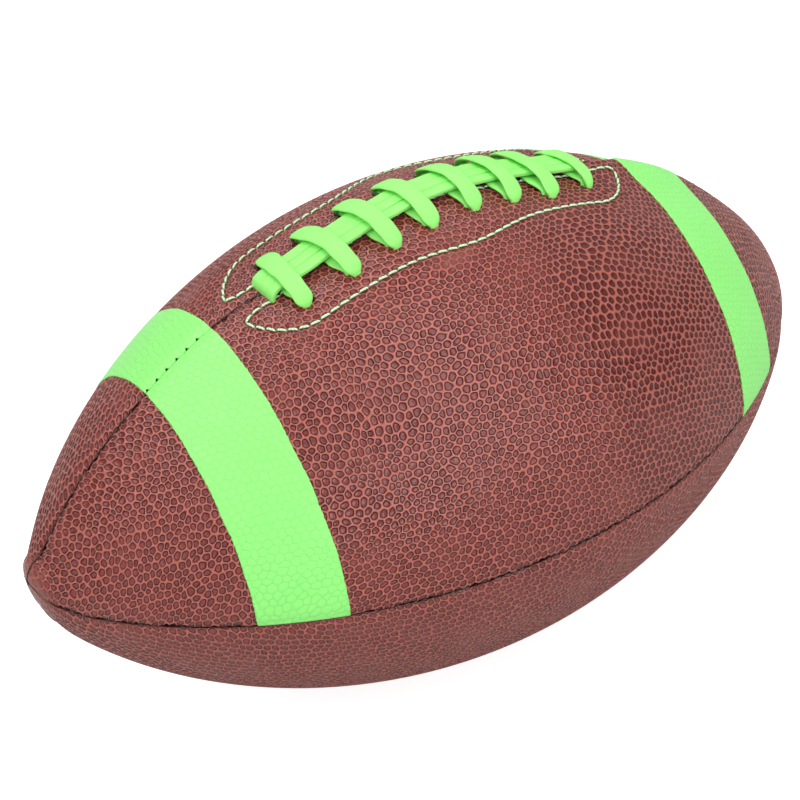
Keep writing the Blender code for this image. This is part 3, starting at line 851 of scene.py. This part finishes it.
def make_panels():
    for number, (place, middle) in enumerate(PANELS.items()):
        rings, *layers = panel_rings(place, middle, number)
        mesh = loft("leather_" + place, rings)
        for key, values in zip(("grain", "press", "shadow", "painted_shade_right"), layers):
            store(mesh, key, values)
        face_out(mesh)
        item = add_object("leather_" + place, mesh, LEATHER, "cover", "cover_" + place)
        relief = item.modifiers.new("relief", "NODES")
        relief.node_group = RELIEF_NODES
        bake_modifiers(item)
        if place == "lower_far":
            cut_out(item, valve_hole())
        if place.startswith("upper"):
            cut_out(item, slots(1 if place == "upper_far" else -1))
        if place.startswith("lower"):
            flatten_belly(item)
        item.data.shade_smooth()


# Stitching of the lace pads

def pad_outline(place):
    """Closed stitch line round one lace pad, as places along and out from the top seam, in mm."""
    pad = PADS[place]
    corner = pad["in"] + PAD_CORNER_MM
    x = np.linspace(-pad["left"], pad["right"], 400)
    left = share_of((x + pad["left"]) / 16)
    right = share_of((pad["right"] - x) / 16.5)
    body = pad["out"] + pad["swell"] * np.exp(-((x - 2) / 15) ** 2)
    rise = (1 - (1 - left) ** 2) ** 0.8 * (1 - (1 - right) ** 2) ** 0.7
    out = corner + (body - corner) * rise
    end = np.linspace(0, TOP, 8)[1:-1]
    last = pad["right"] - PAD_END_MM
    round_end = np.stack([last + PAD_END_MM * np.cos(end), corner - PAD_CORNER_MM * np.sin(end)], 1)
    back = np.linspace(last, -pad["left"] + 4.5, 200)
    tuck = PAD_TUCK_MM * eased((54 - np.abs(back)) / 10) * (1 - eased((back - 4) / 14) * (place == "near"))
    inside = np.stack([back, pad["in"] - tuck], 1)
    tail = np.array([[-pad["left"] + 2.0, pad["in"] + 0.4]])
    line = np.concatenate([np.stack([x, out], 1), round_end, inside, tail])
    return np.concatenate([line, line[:1]])


def along_line(line, pitch):
    """Evenly spaced places on a line, with the direction there."""
    length = travelled(line)
    count = int(round(length[-1] / pitch))
    where = (np.arange(count) + 0.5) * length[-1] / count
    spots = np.stack([np.interp(where, length, line[:, i]) for i in (0, 1)], 1)
    ahead = np.stack([np.interp(where + 0.4, length, line[:, i]) for i in (0, 1)], 1)
    return spots, unit(ahead - spots)


def pad_point(x_mm, out_mm, side, depth=0.0):
    """Place on the cover, out from the top seam on the far (1) or near (-1) side."""
    tau = tau_at_x(x_mm / 1000)
    radius = profile(tau)[1]
    angle = TOP - side * out_mm / 1000 / radius
    past_fold = out_mm - fold_start_mm(radius)
    rise = lip(tau, past_fold, "upper_far" if side > 0 else "upper_near")
    return world(shell(tau, angle, depth - puff(past_fold) - rise))


def stitch_dip(place, tau, angle):
    """How much each point of a panel lies in the furrow of a stitch line, from 0 to 1."""
    x = profile(tau)[0] * 1000
    out = (TOP - angle) * profile(tau)[1][:, None] * 1000
    side = top_side(place)
    spots = along_line(pad_outline(place.removeprefix("upper_")), 0.5)[0]
    near_rows = np.abs(x) < 70
    dip = np.zeros(angle.shape)
    gap = np.full((near_rows.sum(), angle.shape[1]), 1e9)
    for spot_x, spot_out in spots:
        gap = np.minimum(gap, (x[near_rows][:, None] - spot_x) ** 2 + (side * out[near_rows] - spot_out) ** 2)
    dip[near_rows] = np.exp(-gap / FURROW_HALF_WIDTH_MM ** 2)
    return dip


def make_stitches(place):
    """Short round threads along one pad's stitch line, which dip in at both ends."""
    side = top_side(place)
    share = np.linspace(-1, 1, 9)
    turn = np.arange(10) / 10
    reach = share * (STITCH_PITCH_MM - THREAD_GAP_MM) / 2
    bulge = np.sqrt(1 - (0.97 * share) ** 4)
    rise = (THREAD_RISE * bulge - THREAD_DIP * share ** 4)[:, None]
    flat, tall = (THREAD_RADIUS * bulge[:, None] * wave[None] for wave in (
        np.cos(2 * pi * turn), THREAD_FLATNESS * np.sin(2 * pi * turn)))
    threads, faces = [], []
    for (x, out), (step_x, step_out) in zip(*along_line(pad_outline(place), STITCH_PITCH_MM)):
        slant = THREAD_SLANT + random.uniform(-0.05, 0.05)
        spots = x + reach * (step_x - slant * step_out), out + reach * (step_out + slant * step_x)
        line = pad_point(*spots, side)
        up = unit(line - pad_point(*spots, side, 0.001))
        aside = np.cross(unit(np.gradient(line, axis=0)), up)
        line = line + up * rise
        faces += tube_faces(len(share), len(turn), len(threads) * flat.size)
        threads.append(line[:, None] + aside[:, None] * flat[..., None] + up[:, None] * tall[..., None])
    mesh = bpy.data.meshes.new("stitches_" + place)
    mesh.from_pydata(np.concatenate(threads).reshape(-1, 3).tolist(), [], faces)
    mesh.shade_smooth()
    store(mesh, "twist", [1.6 * share[:, None] + turn] * len(threads))
    face_out(mesh)
    add_object("stitches_" + place, mesh, THREAD, "lace")


# Marker stripes

def closed_sheet(name, top, under):
    """Closed mesh from two grids of points, one over the other."""
    rows, columns = top.shape[:2]
    index = np.arange(rows * columns).reshape(rows, columns)
    low = index + rows * columns
    upper = np.stack([index[:-1, :-1], index[:-1, 1:], index[1:, 1:], index[1:, :-1]], -1)
    lower = np.stack([low[:-1, :-1], low[1:, :-1], low[1:, 1:], low[:-1, 1:]], -1)
    around = np.concatenate([index[0], index[1:, -1], index[-1, -2::-1], index[-2:0:-1, 0]])
    after = np.roll(around, -1)
    rim = np.stack([around, around + rows * columns, after + rows * columns, after], -1)
    faces = np.concatenate([upper.reshape(-1, 4), lower.reshape(-1, 4), rim])
    mesh = bpy.data.meshes.new(name)
    points = np.concatenate([top.reshape(-1, 3), under.reshape(-1, 3)])
    mesh.from_pydata(points.tolist(), [], faces.tolist())
    mesh.shade_smooth()
    return mesh


def make_stripe(end, side, place):
    """Film of one stripe on one upper panel, toward the left (-1) or right (1) nose."""
    number = list(PANELS).index("upper_" + place)
    middle = PANELS["upper_" + place]
    at_top = top_side(place)
    rows, columns = ((96, 300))
    centre, half = (STRIPE_HIGH + STRIPE_LOW) / 2, (STRIPE_HIGH - STRIPE_LOW) / 2
    share = np.linspace(-1, 1, rows)[:, None]
    step = np.linspace(1.0, -1.0, columns)[None, :]
    wobble = FILM_WANDER_MM * (field(step * 60, 9.0 * side, 2.2, 51) + field(step * 60, 0.0, 20.0, 53))
    arc = (centre + share * (half + wobble * share ** 2)) * side
    from_top = (1 - step * at_top) / 2 * FILM_LENGTH_MM
    if end == "right" and place == "near":
        arc = arc - NEAR_LEAN_MM * np.exp(-(from_top / NEAR_LEAN_SPAN_MM) ** 2)
    if end == "right" and place == "far":
        inward, outward = (1 - share) / 2 * FAR_INNER_MM, (1 + share) / 2 * FAR_OUTER_MM
        arc = arc + (inward + outward) * np.exp(-(from_top / FAR_SHIFT_SPAN_MM) ** 2)
    tau = tau_at_arc(arc)
    radius = profile(tau)[1]
    tick = (np.abs(arc) - centre - TICK_SHIFT_MM) / TICK_PITCH_MM + (TICK_COUNT - 1) / 2
    past_tick = np.abs(tick - np.clip(np.round(tick), 0, TICK_COUNT - 1)) * TICK_PITCH_MM
    notch = TICK_DEPTH_MM * share_of(1.4 - 1.4 * past_tick / TICK_HALF_WIDTH_MM)
    notched = share_of(step * at_top) * (at_top > 0) * (end == "left")
    trim = (FILM_TRIM_MM + notched * notch) / 1000
    angle = middle + step * (QUARTER - np.arcsin(trim / radius))
    across = (angle - middle) * radius * 1000
    past_fold = QUARTER * radius * 1000 - np.abs(across) - fold_start_mm(radius)
    swell = puff(np.maximum(past_fold, 0.0)) - 0.00016 * share_of(-past_fold / 0.5) ** 2
    swell = swell + lip(tau, np.maximum(past_fold, 0.0), "upper_" + place) * (across * at_top > 0)
    rim = share_of((1 - np.abs(share)) * half / 0.25)
    top = world(shell(tau, angle, -(swell + FILM * (0.35 + 0.65 * rim))))
    under = world(shell(tau, angle, FILM_UNDERSIDE - swell))
    shadow = 0.18 * (1 - eased((past_fold + 0.5) / 0.3))
    mesh = closed_sheet(f"film_{end}_{place}", top, under)
    store(mesh, "grain", [grain_points(arc, across, number)] * 2)
    store(mesh, "shadow", [shadow, shadow])
    face_out(mesh)
    add_object(f"film_{end}_{place}", mesh, FILM_LOOK, "stripe", f"stripe_{end}_{place}")


# Lacing

def arch(near, far, height, near_fullness, far_fullness, steps, far_power=0.5):
    """Points of an arch over the cover, from the near side to the far side."""
    turn = np.linspace(0, pi, steps)
    side = -np.cos(turn)
    fullness = np.where(side < 0, near_fullness, far_fullness)
    y = side * np.where(side < 0, near, far)
    return np.stack([y, height * (1 - np.abs(side) ** fullness) ** np.where(side < 0, 0.5, far_power)], 1)


def evened(line, step, rounds):
    """A line resampled in even steps, with its corners softened."""
    length = travelled(line)
    where = np.linspace(0, length[-1], int(length[-1] / step))
    line = np.stack([np.interp(where, length, column) for column in line.T], 1)
    for _ in range(rounds):
        line[1:-1] = (line[:-2] + 2 * line[1:-1] + line[2:]) / 4
    return line


def lay_ribbon(name, replaced, centres, side, ups, half_width, half_height, square=2.6):
    """Soft strip along a line of centres; across holds where a point lies in its width."""
    turn = np.linspace(0, 2 * pi, 33)[:-1]
    flat = np.sign(np.cos(turn)) * np.abs(np.cos(turn)) ** (2 / square)
    tall = np.sign(np.sin(turn)) * np.abs(np.sin(turn)) ** (2 / (square - 0.4))
    rings = centres[:, None] + side * (half_width[:, None] * flat)[..., None]
    mesh = loft(name, rings + ups[:, None] * (half_height[:, None] * tall)[..., None])
    store(mesh, "across", np.tile(flat, len(centres)))
    face_out(mesh)
    add_object(name, mesh, LACE_LOOK, "lace", replaced)


def turn_line(near, far, crest):
    """One turn as places across the ball and heights: up through the near panel, under the
    strands, down the far one, back inside and over the strands.
    """
    half = LACE_THICKNESS / 2
    step_in = OUTER_LEG_Y - INNER_LEG_Y
    inside = -INNER_LACE_DEPTH - half
    under = arch(near - step_in, far - step_in, UNDER_CLEARANCE + half,
                 UNDER_FULLNESS, UNDER_FULLNESS, 60)
    over = arch(near, far, crest, NEAR_FULLNESS, FAR_FULLNESS, 120, FAR_POWER)
    back = np.array([[far - step_in, inside + INNER_BEND], [far - step_in - INNER_BEND, inside],
                     [INNER_BEND - near, inside], [-near, inside + INNER_BEND]])
    line = np.concatenate([[[step_in - near, -LEG_END]], under, back, over, [[far, -LEG_END]]])
    return evened(line, LACE_STEP, LACE_ROUNDS)


def turn_width(number, travel, height, beneath, from_near):
    """Share of the lace's width at each point: rounded at the tips and narrow in the legs."""
    last_turn = number == LACE_TURNS
    over = np.nonzero(~beneath & (height > 0.0))[0]
    under = np.nonzero(beneath & (height > 0.0))[0]
    near_length = LAST_NEAR_TIP if last_turn else NEAR_TIP
    near_tip = share_of(1 - (travel - travel[over[0]]) / near_length)
    far_tip = share_of(1 - (travel[over[-1]] - travel) / FAR_TIP)
    rounded = np.minimum(np.sqrt(1 - (1 - NEAR_TIP_SHARE ** 2) * near_tip ** 2),
                         np.sqrt(1 - (1 - FAR_TIP_SHARE ** 2) * far_tip ** 2))
    near_share = LAST_NEAR_WIDTH_SHARE if last_turn else NEAR_WIDTH_SHARE
    rounded = rounded * (near_share + (1 - near_share) * eased((from_near - 0.3) / 0.5))
    from_end = np.minimum(travel - travel[under[0] + 1], travel[under[-1]] - travel)
    under_tip = share_of(1 - from_end / UNDER_TIP)
    under_width = LEG_SHARE + (UNDER_SHARE - LEG_SHARE) * (1 - under_tip ** 1.4)
    width = np.where(beneath & (height > 0.0), under_width, LEG_SHARE)
    width = np.where(~beneath & (height > LEG_START), rounded, width)
    return np.convolve(np.pad(width, 1, mode="edge"), np.ones(3) / 3, "valid")


def make_turn(number):
    """One turn of the lace: under the strands, through both panels and back over the strands."""
    frame_here = np.array(turn_frame(number))
    tau = tau_at_x(turn_x(number))
    half = LACE_THICKNESS / 2
    near, far = turn_reach(number, -1), turn_reach(number, 1)
    line = turn_line(near, far, OVER_HEIGHT + half + TURN_RISE_MM[number - 1] / 1000)
    y, height = line.T
    lean = radians(TURN_LEAN_DEGREES[number - 1])
    across = y + turn_y(number)
    fall = (shell(tau, TOP, 0.0, -across) - shell(tau, TOP))[:, 2]
    travel = travelled(line)
    beneath = travel < travel[-1] / 2
    swing = TURN_SWING_MM[number - 1] / 1000
    from_near = (y + near) / (near + far)
    swung = swing * (1 - eased((from_near - 0.40) / 0.55)) * eased((height + SWING_DEPTH) / SWING_RISE)
    back_by = UNDER_BACK * (1 - from_near) * (1 < number < LACE_TURNS)
    behind = (swing - back_by) * eased(1 + height / UNDER_SWING_DEPTH)
    behind = behind * (1 - UNDER_SWING_LOSS * eased(from_near))
    along = np.tan(lean) * y + np.where(beneath, behind, swung)
    local = np.stack([along, across, height + fall, np.ones_like(y)], 1)
    centres = (local @ frame_here.T)[:, :3]
    side = frame_here[:3, 0]
    ups = unit(np.cross(side, unit(np.gradient(centres, axis=0))))
    width = turn_width(number, travel, height, beneath, from_near)
    half_width = (LACE_WIDTH / 2) * width * (0.98 + 0.03 * np.sin(y * 900 + number))
    thinner = np.where(~beneath & (height > LEG_START), 1.0, 0.92)
    half_height = half * (1 + 0.10 * np.sin(y * 700 + 2 * number)) * thinner
    lay_ribbon(f"lace_over_{number}", f"lace_turn_{number}", centres, side, ups, half_width, half_height)


def make_strand(number):
    """One long strand of the lace, which lies under the turns and dips at both ends."""
    half = LACE_THICKNESS / 2
    middle = (number - 2) * STRAND_SPACING
    rise = MIDDLE_STRAND_RISE if number == 2 else 0.0
    last = LAST_TURN_X + LACE_WIDTH / 2 + STRAND_REACH + half
    x = np.linspace(-last, last, 260)
    tuck_share = share_of((np.abs(x) - (last - STRAND_TUCK)) / STRAND_TUCK)
    level = STRAND_HEIGHT + half + rise + 0.00012 * np.cos(2 * pi * (x / LACE_PITCH + 0.5))
    drop = (level - half - UNDER_CLEARANCE) * (1 - np.sqrt(1 - tuck_share ** 2))
    tau = tau_at_x(x)
    across = LACE_CENTRE_Y + middle + 0.00015 * np.sin(x * 210 + number)
    base = shell(tau, TOP, 0.0, -across)
    seam = shell(tau, TOP)
    slope = np.gradient(seam[:, 2]) / np.gradient(seam[:, 0])
    outward = unit(np.stack([-slope, np.zeros_like(slope), np.ones_like(slope)], 1))
    level_point = np.stack([seam[:, 0], across, base[:, 2]], 1)
    centres = world(level_point + outward * (level - drop)[:, None])
    end = np.array([[0.0, 0.0, -STRAND_TUCK_DEPTH]])
    centres = np.concatenate([centres[:1] + end, centres, centres[-1:] + end])
    centres = evened(centres, STRAND_STEP, STRAND_ROUNDS)
    side = np.array([0.0, 1.0, 0.0])
    ups = unit(np.cross(unit(np.gradient(centres, axis=0)), side))
    end_share = share_of((np.abs(centres[:, 0]) - (last - STRAND_END)) / STRAND_END)
    half_width = (STRAND_SPACING - 0.00006) / 2 + STRAND_END_WIDER * end_share
    lay_ribbon(f"lace_long_{number}", f"lace_strand_{number}", centres, side, ups, half_width,
               np.full(len(centres), half), STRAND_SQUARENESS)


# Camera, light and floor

def facing_ball(turn, rise, distance, roll=0.0):
    """Place from which the ball's middle is seen, turned from the front and raised."""
    look = Matrix.Rotation(turn, 4, "Z") @ Matrix.Rotation(TOP - rise, 4, "X") @ Matrix.Rotation(roll, 4, "Z")
    return Matrix.Translation((0, 0, CENTRE_HEIGHT)) @ look @ Matrix.Translation((0, 0, distance))


def make_camera():
    camera = linked("camera", bpy.data.cameras.new("camera"))
    camera.data.sensor_width = SENSOR
    camera.data.lens = LENS
    camera.data.shift_x, camera.data.shift_y = SHIFT
    camera.data.clip_start = 0.01
    camera.matrix_world = facing_ball(CAMERA_TURN, CAMERA_RISE, CAMERA_DISTANCE, CAMERA_ROLL)
    bpy.context.scene.camera = camera


def add_lamp(turn, rise, width, power):
    """Soft box that faces the ball."""
    data = bpy.data.lights.new("lamp", "AREA")
    data.shape = "SQUARE"
    data.size = width
    data.energy = power
    linked("lamp", data).matrix_world = facing_ball(radians(turn), radians(rise), LAMP_DISTANCE)


def make_floor():
    """White floor that shows the ball's shadow and is darker in mirrored light close by."""
    mesh = bpy.data.meshes.new("floor")
    corners = [(x * FLOOR_HALF, y * FLOOR_HALF, 0) for x, y in ((-1, -1), (1, -1), (1, 1), (-1, 1))]
    mesh.from_pydata(corners, [], [(0, 1, 2, 3)])
    floor = linked("floor", mesh)
    tree = Look("floor", 0.9, 0.1)
    tree.shader.inputs["Base Color"].default_value = (0.62, 0.62, 0.62, 1)
    camera, glossy = tree.rays()
    distance = tree.add("ShaderNodeVectorMath", {0: tree.place()}, operation="LENGTH").outputs["Value"]
    mirrored = tree.ramp(distance, 0.15, 0.50, 0.0, 0.35)
    seen = tree.sum("MULTIPLY_ADD", camera, 0.80, tree.sum("MULTIPLY", glossy, mirrored))
    glow = tree.add("ShaderNodeEmission", {"Color": (1, 1, 1, 1), "Strength": seen})
    both = tree.add("ShaderNodeAddShader", {0: tree.shader.outputs[0], 1: glow.outputs[0]})
    tree.feed(tree.tree.nodes["Material Output"].inputs["Surface"], both.outputs[0])
    mesh.materials.append(tree.material)


def make_world():
    """Even light all round, brighter toward the horizon where it is mirrored."""
    sky = bpy.data.worlds.new("studio")
    bpy.context.scene.world = sky
    sky.use_nodes = True
    tree = Tree(sky.node_tree)
    ground = sky.node_tree.nodes["Background"]
    ground.inputs["Color"].default_value = (1, 1, 1, 1)
    camera, glossy = tree.rays()
    place = tree.add("ShaderNodeSeparateXYZ", {0: tree.place("Generated")})
    mirrored = tree.ramp(place.outputs[2], 0.0, 0.45, 0.59, 0.066)
    level = tree.pick(glossy, WORLD_LIGHT, mirrored)
    tree.feed(ground.inputs["Strength"], tree.pick(camera, level, 1.0))


# Pieces that stay as the model has them

def dress_nodes():
    """Give the linings, pads, guard, bladder and valve their materials."""
    looks = {"lining": LINING, "lace_pad": CANVAS, "lace_guard": CANVAS, "bladder": BLADDER, "valve": VALVE}
    for name, item in frame["nodes"].items():
        for start, look in looks.items():
            if name.startswith(start):
                item.data.materials.clear()
                item.data.materials.append(look)


make_camera()
make_world()
make_floor()
for lamp in LAMPS:
    add_lamp(*lamp)
dress_nodes()
make_panels()
for place in ("near", "far"):
    make_stripe("left", -1, place)
    make_stripe("right", 1, place)
    make_stitches(place)
for number in range(1, LACE_TURNS + 1):
    make_turn(number)
for number in (1, 2, 3):
    make_strand(number)
bpy.context.scene.view_settings.view_transform = "Standard"
